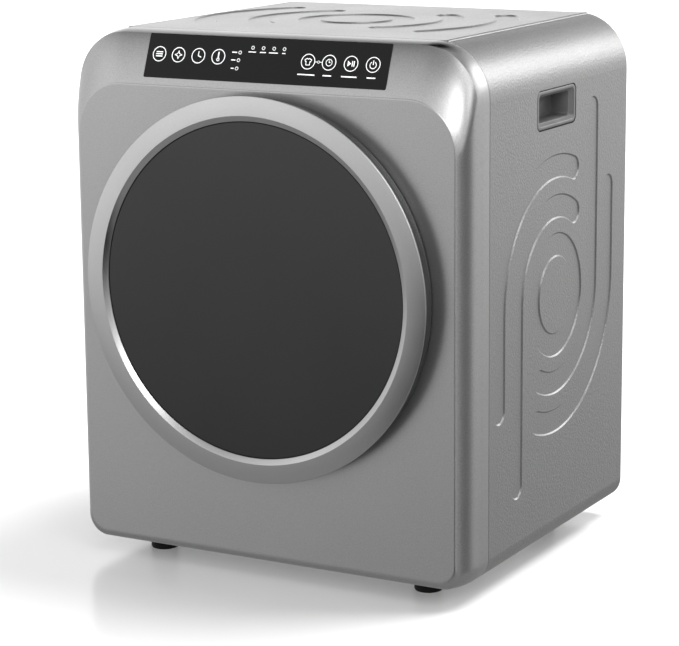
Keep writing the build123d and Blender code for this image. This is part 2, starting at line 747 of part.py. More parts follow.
def make_exhaust_collar():
    """Round spigot that a 4 inch exhaust hose slides over."""
    end = CABINET_D + COLLAR_OUT
    collar = [
        (47, BLOWER_BACK_Y), (57, BLOWER_BACK_Y), (57, BLOWER_BACK_Y + 2),
        (COLLAR_R + 1, BLOWER_BACK_Y + 2), (COLLAR_R + 1, CABINET_D - 0.5),
        (COLLAR_R, CABINET_D - 0.5), (COLLAR_R, end), (47, end),
    ]
    return turned(collar, COLLAR_X, COLLAR_Z)


def make_intake_grille():
    """Louvred air intake set into the back panel."""
    grille = box(-90, 90, BACK_Y + 1.4, BACK_Y + 3.4, 445, 555) - box(-78, 78, 470, 480, 457, 543)
    grille += box(-84.5, 84.5, BACK_Y - 3, BACK_Y + 1.6, 450.5, 549.5) - box(-78, 78, 460, 480, 457, 543)
    for row in range(8):
        z = 462 + row * 10.8
        grille += Pos(0, BACK_Y, z) * Rot(35, 0, 0) * Box(157, 7, 1.6)
    return grille


def make_heater_housing():
    housing = box(-78, 78, DUCT_FRONT_Y, 452, 455, 547) - box(-76.5, 76.5, DUCT_FRONT_Y - 1, 450.5, 456.5, 545.5)
    return housing - box(-60, 60, 448, 454, 470, 532)


def make_heater_element():
    """Finned PTC heating element across the air path."""
    element = box(-76, 76, 420, 440, 457, 545)
    for column in range(15):
        x = (column - 7) * 9.6
        for z0, z1 in ((462, 487), (491, 511), (515, 540)):
            element -= box(x - 3.6, x + 3.6, 419, 441, z0, z1)
    return element


def make_thermostats():
    parts = []
    for x in (-30, 30):
        disc = rod_z(8, 547, 553, x, 430) + box(x - 5, x - 3, 428, 432, 553, 560)
        parts.append(disc + box(x + 3, x + 5, 428, 432, 553, 560))
    return Compound(children=parts)


def make_power_board():
    """Mains board standing in its plastic tray in the upper corner."""
    tray = box(206, 262, 318, 396, 578, 632) - box(204, 260, 320, 394, 580, 630)
    board = box(254, 255.6, 322, 392, 582, 628)
    relay = box(236, 254, 330, 350, 590, 606)
    capacitor = rod_x(9, 230, 254, 372, 604)
    return tray + box(255.6, 260.5, 326, 332, 590, 600) + box(255.6, 260.5, 382, 388, 590, 600) + board + relay + capacitor


def make_cord_gland():
    gland = [
        (4.2, BACK_Y - 10), (8.8, BACK_Y - 10), (8.8, BACK_Y + 1.4), (13, BACK_Y + 1.4),
        (12, BACK_Y + 5), (4.2, BACK_Y + 5),
    ]
    return turned(gland, -205, 90)


# ---------------------------------------------------------------- every piece by name
def main():
    os.makedirs("parts", exist_ok=True)
    side = make_side_panel()
    cup = make_handle_cup()
    motor_axis = (MOTOR_X, MOTOR_Z)
    door_screw_places = [around(226, 22.5 + 45 * k) for k in range(8)]
    pieces = {
        "front_frame": make_front_frame(),
        "control_glass": make_control_glass(),
        "control_board": make_control_board(),
        "side_panel_right": side,
        "side_panel_left": mirror(side, Plane.YZ),
        "top_panel": make_top_panel(),
        "back_panel": make_back_panel(),
        "base_pan": make_base_pan(),
        "front_bulkhead": make_front_bulkhead(),
        "rear_bulkhead": make_rear_bulkhead(),
        "handle_cup_right": cup,
        "handle_cup_left": mirror(cup, Plane.YZ),
        "foot_bolts": make_foot_bolts(),
        "back_screws": screw_heads(edge_places(262, 18, 644, 5), BACK_Y + 1.4, BACK_Y + 3.4),
        "front_screws": screw_heads(edge_places(255, 36, 584, 4), BULKHEAD_Y + SHEET, BULKHEAD_Y + 3.6),
        "door_ring": make_door_ring(),
        "door_glass": make_door_glass(),
        "door_shell": make_door_shell(),
        "door_liner": make_door_liner(),
        "door_bowl": make_door_bowl(),
        "door_seal": make_door_seal(),
        "door_screws": screw_heads(door_screw_places, DOOR_BACK_Y, DOOR_BACK_Y + 0.9, 3.5),
        "hinge_bracket": make_hinge_bracket(),
        "hinge_pin": make_hinge_pin(),
        "hinge_leaf": make_hinge_leaf(),
        "door_striker": make_door_striker(),
        "latch_housing": make_latch_housing(),
        "door_switch": make_door_switch(),
        "drum": make_drum(),
        "drum_lifters": make_drum_lifters(),
        "front_glide_ring": make_front_glide(),
        "rear_felt_ring": make_rear_felt(),
        "roller_left": make_roller(-1),
        "roller_right": make_roller(1),
        "roller_axles": make_roller_axles(),
        "drum_belt": make_belt(),
        "motor_stator": make_motor_stator(),
        "motor_rotor": make_motor_rotor(),
        "motor_pulley": flanged_pulley(PULLEY_R, 14, SHAFT_R, *motor_axis),
        "motor_bracket": make_motor_bracket(),
        "idler_pulley": flanged_pulley(IDLER_R, 22, IDLER_AXLE_R + RUNNING, IDLER_X, IDLER_Z),
        "idler_arm": make_idler_arm(),
        "idler_spring": make_idler_spring(),
        "blower_wheel": make_blower_wheel(),
        "lint_filter_frame": make_filter_frame(),
        "lint_filter_mesh": make_filter_mesh(),
        "suction_duct": make_suction_duct(),
        "blower_housing": make_blower_housing(),
        "blower_cover": make_blower_cover(),
        "exhaust_collar": make_exhaust_collar(),
        "intake_grille": make_intake_grille(),
        "heater_housing": make_heater_housing(),
        "heater_element": make_heater_element(),
        "thermostats": make_thermostats(),
        "power_board": make_power_board(),
        "cord_gland": make_cord_gland(),
    }
    for name, place in foot_places().items():
        pieces[name] = make_foot(*place)
    for name, shape in pieces.items():
        save(name, shape)


main()
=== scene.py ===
"""Looks of the compact tumble dryer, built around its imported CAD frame. Units are metres."""

import json
from math import atan2, cos, pi, radians, sin, sqrt

import bmesh
import bpy
from mathutils import Matrix, Vector


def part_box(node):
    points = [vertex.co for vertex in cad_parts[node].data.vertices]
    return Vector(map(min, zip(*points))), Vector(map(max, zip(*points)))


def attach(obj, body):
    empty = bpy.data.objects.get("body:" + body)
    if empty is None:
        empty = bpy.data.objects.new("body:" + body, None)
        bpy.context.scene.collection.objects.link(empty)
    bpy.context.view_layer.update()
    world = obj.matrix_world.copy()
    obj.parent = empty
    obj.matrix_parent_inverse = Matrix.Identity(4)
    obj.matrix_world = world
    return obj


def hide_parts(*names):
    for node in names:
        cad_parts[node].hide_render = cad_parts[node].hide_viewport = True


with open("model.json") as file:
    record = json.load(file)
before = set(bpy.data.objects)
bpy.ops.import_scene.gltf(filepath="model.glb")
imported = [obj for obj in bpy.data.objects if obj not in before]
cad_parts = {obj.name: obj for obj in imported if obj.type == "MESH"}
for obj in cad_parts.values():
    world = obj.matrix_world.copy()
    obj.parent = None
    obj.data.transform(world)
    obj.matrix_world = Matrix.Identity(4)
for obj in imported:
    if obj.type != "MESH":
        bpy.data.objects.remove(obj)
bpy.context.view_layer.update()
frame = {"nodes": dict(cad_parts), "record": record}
nodes = frame["nodes"]
scene = bpy.context.scene
MM = 0.001
WELD = 0.001 * MM

# ---------------------------------------------------------------- places taken from the frame
frame_lo, frame_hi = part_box("front_frame")
FACE_Y = frame_lo.y
SEAM_Y = frame_hi.y
HALF_W = frame_hi.x
BASE_Z = frame_lo.z
TOP_Z = frame_hi.z
ring_lo, ring_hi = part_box("door_ring")
DOOR_Z = (ring_lo.z + ring_hi.z) / 2
RING_R = (ring_hi.x - ring_lo.x) / 2
RING_FACE_Y = ring_lo.y
RING_BACK_Y = ring_hi.y
SHELL_R = (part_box("door_shell")[1].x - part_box("door_shell")[0].x) / 2

# ---------------------------------------------------------------- shape of the moulded front
TOP_R = 70 * MM
BOTTOM_R = 29 * MM
SIDE_DROP = 17.1 * MM
SIDE_REACH = 58 * MM
SIDE_FULLNESS = 4.0
FACE_TOP = 597 * MM
FACE_CORNER_R = 63 * MM
STEP_Y = 6.7 * MM
STEP_Z = 605 * MM
SLOPE_Y = 19.3 * MM
SLOPE_Z = 49.4 * MM
DOME_RISE = 3.4 * MM
DOME_FULLNESS = 2.4
STRIP_BOW = 1.0 * MM
STRIP_STEEP = 3.16
STRIP_LEAN = 1.3
UNDER_R = 10 * MM
STEP_BLEND = 6.0 * MM
FACE_LOW_R = 24 * MM
RING_FALL = 2.2 * MM
CHAMFER_ACROSS = 6.8 * MM
CHAMFER_DEEP = 3.6 * MM
FACE_HOLE_R = 196 * MM
GLASS_R = 210 * MM
BROW_Z = TOP_Z - BASE_Z - DOME_RISE
BROW_Y = STEP_Y + (BROW_Z - STEP_Z) * SLOPE_Y / SLOPE_Z
SEAM_DEPTH = SEAM_Y - FACE_Y
FRONT_SHARP = 28
HANDLE_SHARP = 40
ROLL_SHARP = 60

# rows of the front, mm: (depth, inset) at the crease, depths over the strip, steps about the brow,
# depths over the side arcs, then (distance before the seam, inset) where the edge rolls in
CREASE_INSET = 2.2
CREASE_ROWS = ((0.0, 0.9), (0.05, 0.45), (0.2, 0.15), (0.45, 0.03))
STRIP_DEPTHS = (0.8, 1.4, 2.2, 3.4, 4.4, 5.2, 6, 6.7, 7.4, 8.2, 9.1, 10.2, 12, 14, 16.5, 19, 21.5, 24)
BROW_STEPS = (-0.9, -0.35, 0.0, 0.35, 0.8, 1.4, 2.2, 3.4, 5.0, 7.0, 9.5, 12.5)
ARC_DEPTHS = (35, 37.5, 40.5, 43, 46, 49, 52, 55)
SEAM_ROWS = (
    (1.5, 0.0), (1.1, 0.07), (0.7, 0.24), (0.35, 0.5), (0.1, 0.9), (0.0, 1.4), (0.0, 2.6), (14, 2.6),
)
BEAD_R = 0.55 * MM
BEAD_STEPS = 8

# boxes cut away, mm: across, behind the flat face, above the door's axis
LATCH_SLOT = ((202, 219), (-3, 20), (-9, 9))
HINGE_NOTCH = ((-245, -215), (-20.4, 3), (-37, 37))

# finger recess, mm: half width, half height, corner radius, depth below the side sheet
HANDLE_SECTIONS = (
    (63.5, 29.5, 11.5, 3.4), (58.2, 24.2, 9.2, 3.3), (58.2, 24.2, 9.2, 1.3), (57.9, 23.9, 8.9, 0.6),
    (57.2, 23.2, 8.4, 0.2), (56.2, 22.2, 7.8, 0.05), (53.8, 20.4, 7.0, 0.05), (53.0, 19.8, 6.6, 0.3),
    (52.6, 19.4, 6.4, 0.8), (48.4, 17.2, 5.2, 4.2), (47.2, 16.6, 4.8, 4.8), (46.2, 16.1, 4.2, 5.2),
    (45.8, 15.9, 4.0, 6.2), (44.6, 15.2, 4.0, 28.6), (42.0, 13.0, 3.0, 29.8),
)
# rolled edge of the top sheet, mm: out from the sheet's edge, up from the top
TOP_ROLL = ((-2.6, 0.0), (-0.5, 0.0), (-0.2, -0.12), (0.45, -0.95), (0.95, -1.75), (1.15, -2.3), (1.2, -3.4))
# door body, mm: radius, behind the flat face; groove behind the ring, round flank, glass ledge
DOOR_BODY = (
    (200, -18), (200, -20.7), (214.3, -20.7), (214.3, -25), (229, -25), (229, -20.2), (235.6, -20.2),
    (236.6, -19.8), (237, -19), (237, -8.2), (236.2, -7.4), (236.2, -6.4), (237, -5.6), (237, -3.2),
    (236.4, -1.9), (235.2, -1.2), (233.6, -1.2), (233.6, -18),
)


# ---------------------------------------------------------------- mesh helpers
def new_piece(name, verts, faces, body, material, sharp=35.0):
    """A smooth-shaded mesh piece, riding on a CAD body; edges above the sharp angle stay hard."""
    mesh = bpy.data.meshes.new(name)
    mesh.from_pydata([tuple(v) for v in verts], [], faces)
    mesh.validate()
    welded = bmesh.new()
    welded.from_mesh(mesh)
    bmesh.ops.remove_doubles(welded, verts=welded.verts, dist=WELD)
    bmesh.ops.recalc_face_normals(welded, faces=welded.faces)
    welded.to_mesh(mesh)
    welded.free()
    mesh.shade_smooth()
    mesh.set_sharp_from_angle(angle=radians(sharp))
    piece = bpy.data.objects.new(name, mesh)
    scene.collection.objects.link(piece)
    piece.data.materials.append(material)
    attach(piece, body)
    return piece


def rows_to_faces(rows, closed):
    """Quads between neighbouring rows of equal length."""
    count = len(rows[0])
    last = count if closed else count - 1
    faces = []
    for r in range(len(rows) - 1):
        for c in range(last):
            d = (c + 1) % count
            faces.append((r * count + c, r * count + d, (r + 1) * count + d, (r + 1) * count + c))
    return faces


def rows_piece(name, rows, body, material, sharp=35.0, closed=True):
    """A piece from neighbouring rows of points; closed rows run all the way round."""
    verts = [v for row in rows for v in row]
    return new_piece(name, verts, rows_to_faces(rows, closed), body, material, sharp)


def lathe(name, profile, body, material, steps=256):
    """Turns a closed outline of (radius, y) points about the door's axis."""
    rows = []
    for radius, y in profile:
        row = []
        for k in range(steps):
            a = 2 * pi * k / steps
            row.append(Vector((radius * cos(a), y, DOOR_Z + radius * sin(a))))
        rows.append(row)
    rows.append(list(rows[0]))
    return rows_piece(name, rows, body, material)


def fillet(points, radii, steps=6):
    """Rounds the corners of a closed outline of 2-D points; radius 0 keeps a corner."""
    out = []
    count = len(points)
    for i, radius in enumerate(radii):
        p = Vector(points[i])
        if radius <= 0:
            out.append(p)
            continue
        a = (Vector(points[i - 1]) - p).normalized()
        b = (Vector(points[(i + 1) % count]) - p).normalized()
        half = a.angle(b) / 2
        reach = radius / max(1e-6, (sin(half) / cos(half)))
        centre = p + (a + b).normalized() * (radius / sin(half))
        start = p + a * reach - centre
        turn = start.angle_signed(p + b * reach - centre)
        for k in range(steps + 1):
            spun = start.copy()
            spun.rotate(Matrix.Rotation(-turn * k / steps, 2))
            out.append(centre + spun)
    return out


# ---------------------------------------------------------------- materials
FLAKE_METAL = 0.92
TEXTURE_DEPTH = 0.4 * MM
ROLLING_DEPTH = 0.3 * MM


def shader(name):
    """A new node material, its node tree and its main shader."""
    material = bpy.data.materials.new(name)
    material.use_nodes = True
    tree = material.node_tree
    return material, tree, tree.nodes["Principled BSDF"]


def node(tree, kind, **inputs):
    """A node with the given inputs set; an underscore in a name stands for a space."""
    made = tree.nodes.new(kind)
    for key, value in inputs.items():
        made.inputs[key.replace("_", " ")].default_value = value
    return made


def coords(tree):
    """Places on the piece itself, so that its texture moves with it."""
    return tree.nodes.new("ShaderNodeTexCoord").outputs["Object"]


def noise(tree, scale, detail=2.0, rough=0.5):
    """Fine random pattern, about 0.5 on average."""
    made = node(tree, "ShaderNodeTexNoise", Scale=scale, Detail=detail, Roughness=rough)
    tree.links.new(coords(tree), made.inputs["Vector"])
    return made.outputs["Fac"]


def ramp(tree, fac, stops):
    """Colours blended between (place, colour) stops."""
    made = tree.nodes.new("ShaderNodeValToRGB")
    tree.links.new(fac, made.inputs["Fac"])
    band = made.color_ramp
    while len(band.elements) < len(stops):
        band.elements.new(0.5)
    for element, (place, colour) in zip(band.elements, stops):
        element.position = place
        element.color = (*colour, 1)
    return made.outputs["Color"]


def mottled(tree, fac, low, high):
    """Colour that wanders between two shades over the middle of a pattern."""
    return ramp(tree, fac, [(0.3, low), (0.7, high)])


def spread(tree, fac, low, high):
    """A 0 to 1 pattern stretched to run from low to high."""
    made = tree.nodes.new("ShaderNodeMapRange")
    made.inputs["To Min"].default_value = low
    made.inputs["To Max"].default_value = high
    tree.links.new(fac, made.inputs["Value"])
    return made.outputs["Result"]


def bump(tree, bsdf, height, strength, distance):
    """Small height pattern that only bends the light."""
    made = node(tree, "ShaderNodeBump", Strength=strength, Distance=distance)
    tree.links.new(height, made.inputs["Height"])
    tree.links.new(made.outputs["Normal"], bsdf.inputs["Normal"])


def grey(value):
    return (value, value, value)


def metallic_paint(name, level, rough, grain=900.0, contrast=0.16, peel=0.16):
    """Silver paint: fine flake grain in colour and roughness, faint orange peel."""
    material, tree, bsdf = shader(name)
    bsdf.inputs["Metallic"].default_value = FLAKE_METAL
    flake = noise(tree, grain, 2.0, 0.7)
    tint = mottled(tree, flake, grey(level * (1 - contrast)), grey(level * (1 + contrast)))
    gloss = spread(tree, noise(tree, 14.0, 3.0), rough - 0.03, rough + 0.03)
    tree.links.new(tint, bsdf.inputs["Base Color"])
    tree.links.new(gloss, bsdf.inputs["Roughness"])
    bump(tree, bsdf, noise(tree, grain * 0.8, 2.0), peel, TEXTURE_DEPTH)
    return material


def moulded(name, low, high, rough, scale=700.0, depth=0.08, shine=0.5):
    """Moulded plastic or rubber with a fine spark-eroded texture."""
    material, tree, bsdf = shader(name)
    bsdf.inputs["Specular IOR Level"].default_value = shine
    gloss = spread(tree, noise(tree, 60.0, 3.0), rough - 0.05, rough + 0.05)
    tree.links.new(mottled(tree, noise(tree, 30.0, 4.0), low, high), bsdf.inputs["Base Color"])
    tree.links.new(gloss, bsdf.inputs["Roughness"])
    bump(tree, bsdf, noise(tree, scale, 2.0), depth, TEXTURE_DEPTH)
    return material


def sheet_steel(name, level, rough, stretch, grain):
    """Bare or plated sheet metal with rolling marks along one direction."""
    material, tree, bsdf = shader(name)
    bsdf.inputs["Metallic"].default_value = 1.0
    scaled = tree.nodes.new("ShaderNodeMapping")
    scaled.inputs["Scale"].default_value = stretch
    tree.links.new(coords(tree), scaled.inputs["Vector"])
    marks = node(tree, "ShaderNodeTexNoise", Scale=grain, Detail=3.0, Roughness=0.6)
    tree.links.new(scaled.outputs["Vector"], marks.inputs["Vector"])
    fac = marks.outputs["Fac"]
    tint = mottled(tree, fac, grey(level * 0.86), grey(level * 1.08))
    tree.links.new(tint, bsdf.inputs["Base Color"])
    tree.links.new(spread(tree, fac, rough - 0.06, rough + 0.06), bsdf.inputs["Roughness"])
    bump(tree, bsdf, fac, 0.05, ROLLING_DEPTH)
    return material


def dark_glass(name, level, rough, shine):
    """Dark glass with a faint film of wipe marks in its gloss."""
    material, tree, bsdf = shader(name)
    bsdf.inputs["Specular IOR Level"].default_value = shine
    tint = mottled(tree, noise(tree, 6.0, 2.0), grey(level * 0.85), grey(level * 1.15))
    tree.links.new(tint, bsdf.inputs["Base Color"])
    tree.links.new(spread(tree, noise(tree, 9.0, 4.0), rough, rough + 0.05), bsdf.inputs["Roughness"])
    return material


def print_with_painted_glow(name, colour, strength):
    """Printed mark on the touch glass; its emission is a painted glow that makes the print read brighter
    than the light on it.
    """
    material, tree, bsdf = shader(name)
    dimmer = [c * 0.92 for c in colour]
    tree.links.new(mottled(tree, noise(tree, 200.0), dimmer, colour), bsdf.inputs["Base Color"])
    bsdf.inputs["Roughness"].default_value = 0.5
    # painted glow: the print gives off light in its own colour, on top of the light that falls on it
    bsdf.inputs["Emission Color"].default_value = (*colour, 1)
    bsdf.inputs["Emission Strength"].default_value = strength
    return material


MOULDING = metallic_paint("silver_moulding", level=0.355, rough=0.32, peel=0.12)
SHEET = metallic_paint("silver_sheet", level=0.28, rough=0.34, grain=480.0, contrast=0.14, peel=1.0)
RING = metallic_paint("ring_silver", level=0.39, rough=0.29, grain=1400.0, contrast=0.08, peel=0.08)
SHELL = moulded("shell_grey", grey(0.022), grey(0.03), rough=0.32)
BLACK = moulded("black_plastic", grey(0.016), grey(0.024), rough=0.42)
GREY = moulded("grey_plastic", grey(0.36), grey(0.4), rough=0.45)
# finger recess: dark grey plastic, made darker still as painted shade for the shade that falls inside the
# recess
HANDLE_GREY_WITH_SHADE = moulded("handle_plastic", grey(0.075), grey(0.095), rough=0.34)
RUBBER = moulded("seal_rubber", grey(0.003), grey(0.005), rough=0.6, scale=500.0, shine=0.12)
PLATED = sheet_steel("plated_sheet", level=0.58, rough=0.4, stretch=(1, 1, 12), grain=300.0)
STEEL = sheet_steel("bright_steel", level=0.62, rough=0.28, stretch=(1, 1, 1), grain=900.0)
DRUM = sheet_steel("drum_steel", level=0.6, rough=0.24, stretch=(1, 14, 1), grain=220.0)
MOTOR = moulded("motor_steel", grey(0.2), grey(0.25), rough=0.4)
ALUMINIUM = sheet_steel("heater_aluminium", level=0.6, rough=0.35, stretch=(1, 6, 1), grain=400.0)
FELT = moulded("felt", (0.5, 0.45, 0.36), (0.6, 0.55, 0.46), rough=0.9, scale=1500.0, depth=0.6)
NET = moulded("filter_net", (0.12, 0.22, 0.42), (0.2, 0.33, 0.58), rough=0.8, scale=900.0, depth=0.5)
BOARD = moulded("circuit_board", (0.02, 0.13, 0.05), (0.04, 0.18, 0.08), rough=0.4)
SMOKED = dark_glass("smoked_glass", level=0.006, rough=0.06, shine=0.5)
PANEL = dark_glass("panel_glass", level=0.004, rough=0.12, shine=0.16)
# white print with a faint painted glow added
PRINT_PAINTED_GLOW = print_with_painted_glow("icon_print_painted_glow", (0.85, 0.85, 0.86), strength=0.3)


def clear_bowl():
    """Clear glass of the door's bowl, faintly green and hazed."""
    material, tree, bsdf = shader("clear_bowl")
    bsdf.inputs["Transmission Weight"].default_value = 0.9
    bsdf.inputs["IOR"].default_value = 1.47
    tint = mottled(tree, noise(tree, 8.0, 2.0), (0.82, 0.86, 0.86), (0.9, 0.93, 0.93))
    tree.links.new(tint, bsdf.inputs["Base Color"])
    tree.links.new(spread(tree, noise(tree, 25.0, 3.0), 0.03, 0.08), bsdf.inputs["Roughness"])
    return material


CLEAR = clear_bowl()
BY_SLOT = {
    "silver_moulding": MOULDING, "silver_sheet": SHEET, "ring_silver": RING,
    "shell_grey": SHELL, "black_plastic": BLACK, "grey_plastic": GREY, "handle_plastic": HANDLE_GREY_WITH_SHADE,
    "seal_rubber": RUBBER, "belt_rubber": RUBBER, "roller_rubber": RUBBER,
    "plated_sheet": PLATED, "bright_steel": STEEL, "drum_steel": DRUM,
    "motor_steel": MOTOR, "heater_aluminium": ALUMINIUM,
    "felt": FELT, "filter_net": NET, "circuit_board": BOARD,
    "smoked_glass": SMOKED, "panel_glass": PANEL, "clear_bowl": CLEAR,
}


def dress_cad_nodes():
    """Gives every CAD node the material of its slot."""
    for part in frame["record"]["subparts"]:
        target = nodes[part["node"]]
        target.data.materials.clear()
        target.data.materials.append(BY_SLOT[part["material_slot"]])


# ---------------------------------------------------------------- front frame
def frame_half_width(y):
    """Half width of the front at depth y: the side arcs swell to the full width at the back."""
    share = max(1 - y / SIDE_REACH, 0.0)
    return HALF_W - SIDE_DROP * share**SIDE_FULLNESS


def frame_top(y):
    """Height of the front's top edge: crease, faintly bowed strip, tight brow, gently domed top."""
    if y < BROW_Y:
        crease = FACE_TOP + (STEP_Z - FACE_TOP) * y / STEP_Y
        strip = STEP_Z + (y - STEP_Y) * SLOPE_Z / SLOPE_Y
        near = max(STEP_BLEND - abs(crease - strip), 0) / STEP_BLEND
        along = max(strip - STEP_Z, 0) / (BROW_Z - STEP_Z)
        return max(crease, strip) + near * near * STEP_BLEND / 4 + STRIP_BOW * 4 * along * (1 - along)
    share = min((y - BROW_Y) / (SEAM_DEPTH - BROW_Y), 1.0)
    return BROW_Z + DOME_RISE * (1 - (1 - share) ** DOME_FULLNESS)


def frame_bottom(y):
    """Height of the lower edge: a plain quarter round under the face."""
    return 0.0 if y >= UNDER_R else UNDER_R - sqrt(UNDER_R**2 - (UNDER_R - y) ** 2)


def rounded_outline(half_w, bottom, top, bottom_r, top_r, corner=22, side=60, across=48):
    """Points of an upright rounded rectangle, (x, z), the same count for every size."""
    corners = (
        (half_w - bottom_r, bottom + bottom_r, bottom_r, -pi / 2),
        (half_w - top_r, top - top_r, top_r, 0.0),
        (-half_w + top_r, top - top_r, top_r, pi / 2),
        (-half_w + bottom_r, bottom + bottom_r, bottom_r, pi),
    )
    runs = (side, across, side, across)
    points = []
    for index, (cx, cz, radius, start) in enumerate(corners):
        for k in range(corner + 1):
            a = start + pi / 2 * k / corner
            points.append(Vector((cx + radius * cos(a), cz + radius * sin(a))))
        nx, nz, nr, nstart = corners[(index + 1) % 4]
        goal = Vector((nx + nr * cos(nstart), nz + nr * sin(nstart)))
        origin = points[-1].copy()
        for k in range(1, runs[index]):
            points.append(origin.lerp(goal, k / runs[index]))
    return points


def frame_row(y, inset=0.0):
    """Outline of the front frame at depth y behind its flat face."""
    at = max(y, 0.0)
    bottom_r = FACE_LOW_R + (BOTTOM_R - FACE_LOW_R) * min(at / UNDER_R, 1.0)
    top_r = FACE_CORNER_R + (TOP_R - FACE_CORNER_R) * min(at / STEP_Y, 1.0)
    flat = rounded_outline(
        frame_half_width(at) - inset, frame_bottom(at) + inset, frame_top(at) - inset,
        bottom_r - inset, top_r - inset,
    )
    return [Vector((p.x, FACE_Y + y, BASE_Z + p.y)) for p in flat]


def make_front_shell():
    """Moulded front: round hole, flat face, creased edge, leaning strip and side arcs."""
    crease = frame_row(0.0, CREASE_INSET * MM)
    angles = [atan2(p.z - DOOR_Z, p.x) for p in crease]
    hole = [
        (FACE_HOLE_R, 13 * MM), (FACE_HOLE_R, 0.8 * MM), (FACE_HOLE_R + 0.25 * MM, 0.25 * MM),
        (FACE_HOLE_R + 0.8 * MM, 0.0), (FACE_HOLE_R + 1.6 * MM, 0.0), (SHELL_R - 6 * MM, 0.0),
    ]
    rows = []
    for radius, y in hole:
        rows.append([Vector((radius * cos(a), FACE_Y + y, DOOR_Z + radius * sin(a))) for a in angles])
    rows.append(crease)
    for depth, inset in CREASE_ROWS:
        rows.append(frame_row(depth * MM, inset * MM))
    depths = [depth * MM for depth in STRIP_DEPTHS]
    depths += [BROW_Y + step * MM for step in BROW_STEPS]
    depths += [depth * MM for depth in ARC_DEPTHS]
    for depth in depths:
        rows.append(frame_row(depth))
    for back, inset in SEAM_ROWS:
        rows.append(frame_row(SEAM_DEPTH - back * MM, inset * MM))
    shell = rows_piece("front_shell", rows, "cabinet", MOULDING, FRONT_SHARP)
    cut_box(shell, *LATCH_SLOT)
    bow_strip_shading(shell.data)
    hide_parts("front_frame")


def bow_strip_shading(mesh):
    """Shades the strip as one bowed surface, steep at the crease and leaning back to the brow."""
    normals = [Vector(corner.vector) for corner in mesh.corner_normals]
    for index, loop in enumerate(mesh.loops):
        y = mesh.vertices[loop.vertex_index].co.y - FACE_Y
        normal = normals[index]
        flat = Vector((normal.x, normal.z))
        on_strip = 0.7 * MM < y < BROW_Y + 0.1 * MM
        if not on_strip or flat.y <= 0.01 or normal.y > 0:
            continue
        flat.normalize()
        share = y / BROW_Y
        rise = STRIP_STEEP + (STRIP_LEAN - STRIP_STEEP) * share
        widen = SIDE_DROP * SIDE_FULLNESS / SIDE_REACH * (1 - y / SIDE_REACH) ** (SIDE_FULLNESS - 1)
        normals[index] = Vector((flat.x, -widen * abs(flat.x) - rise * flat.y, flat.y)).normalized()
    mesh.normals_split_custom_set(normals)


def make_seam_bead():
    """Rounded lip that fills the seam between the moulded front and the sheets behind it."""
    rows = []
    for k in range(BEAD_STEPS + 1):
        a = pi * k / BEAD_STEPS
        y = SEAM_DEPTH + 0.5 * MM - BEAD_R * cos(a)
        rows.append(frame_row(y, BEAD_R - BEAD_R * sin(a)))
    rows_piece("seam_bead", rows, "cabinet", RING)


def rounded_row(half_w, half_h, radius, x, middle):
    """Rounded rectangle standing in a plane of constant x, as a closed row of points."""
    flat = rounded_outline(half_w, -half_h, half_h, radius, radius, corner=8, side=6, across=6)
    return [Vector((x, middle.y + p.x, middle.z + p.y)) for p in flat]


def make_handle(name, node_name, side):
    """Finger recess: bezel with rounded edges, sloping inner rim, tapering cup."""
    lo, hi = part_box(node_name)
    middle = (lo + hi) / 2
    rows = []
    for half_w, half_h, radius, depth in HANDLE_SECTIONS:
        x = side * (HALF_W - depth * MM)
        rows.append(rounded_row(half_w * MM, half_h * MM, radius * MM, x, middle))
    verts = [v for row in rows for v in row]
    faces = rows_to_faces(rows, True)
    faces.append(tuple(range(len(verts) - len(rows[-1]), len(verts))))
    cup = new_piece(name, verts, faces, "cabinet", HANDLE_GREY_WITH_SHADE, HANDLE_SHARP)
    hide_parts(node_name)


def cut_box(piece, span_x, span_y, span_z):
    """Cuts a box out of a piece; spans in mm, heights about the door's axis."""
    mesh = bpy.data.meshes.new("cutter")
    maker = bmesh.new()
    bmesh.ops.create_cube(maker, size=1.0)
    low = Vector((span_x[0] * MM, FACE_Y + span_y[0] * MM, DOOR_Z + span_z[0] * MM))
    high = Vector((span_x[1] * MM, FACE_Y + span_y[1] * MM, DOOR_Z + span_z[1] * MM))
    for corner in maker.verts:
        corner.co = Vector([low[i] + (high[i] - low[i]) * (corner.co[i] + 0.5) for i in range(3)])
    maker.to_mesh(mesh)
    maker.free()
    cutter = bpy.data.objects.new("cutter", mesh)
    scene.collection.objects.link(cutter)
    change = piece.modifiers.new("slot", "BOOLEAN")
    change.operation = "DIFFERENCE"
    change.object = cutter
    bpy.context.view_layer.update()
    ready = piece.evaluated_get(bpy.context.evaluated_depsgraph_get())
    cut = bpy.data.meshes.new_from_object(ready)
    piece.modifiers.clear()
    piece.data = cut
    cut.set_sharp_from_angle(angle=radians(FRONT_SHARP))
    bpy.data.objects.remove(cutter)


def make_top_edge_rolls():
    """Rolled edges of the top sheet, down to the start of each side sheet."""
    lo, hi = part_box("top_panel")
    front = lo.y + 0.6 * MM
    reach = hi.y - 2.5 * MM - front
    for name, side in (("top_edge_roll_right", 1), ("top_edge_roll_left", -1)):
        rows = []
        for out, up in TOP_ROLL:
            x = side * (hi.x + out * MM)
            rows.append([Vector((x, front + reach * t / 8, TOP_Z + up * MM)) for t in range(9)])
        rows_piece(name, rows, "cabinet", SHEET, ROLL_SHARP, closed=False)


# ---------------------------------------------------------------- door
def make_door_ring():
    """Silver ring: chamfer down to the glass, face that falls away outwards, rounded rim."""
    face = RING_FACE_Y
    back = RING_BACK_Y
    corners = [
        (GLASS_R, back), (GLASS_R, face + CHAMFER_DEEP), (GLASS_R + CHAMFER_ACROSS, face),
        (RING_R, face + RING_FALL + 0.1 * MM), (RING_R, back),
    ]
    profile = fillet(corners, [0, 0.3 * MM, 0.7 * MM, 0.9 * MM, 0])
    ring = lathe("door_ring_trim", profile, "door", RING, steps=320)
    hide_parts("door_ring")


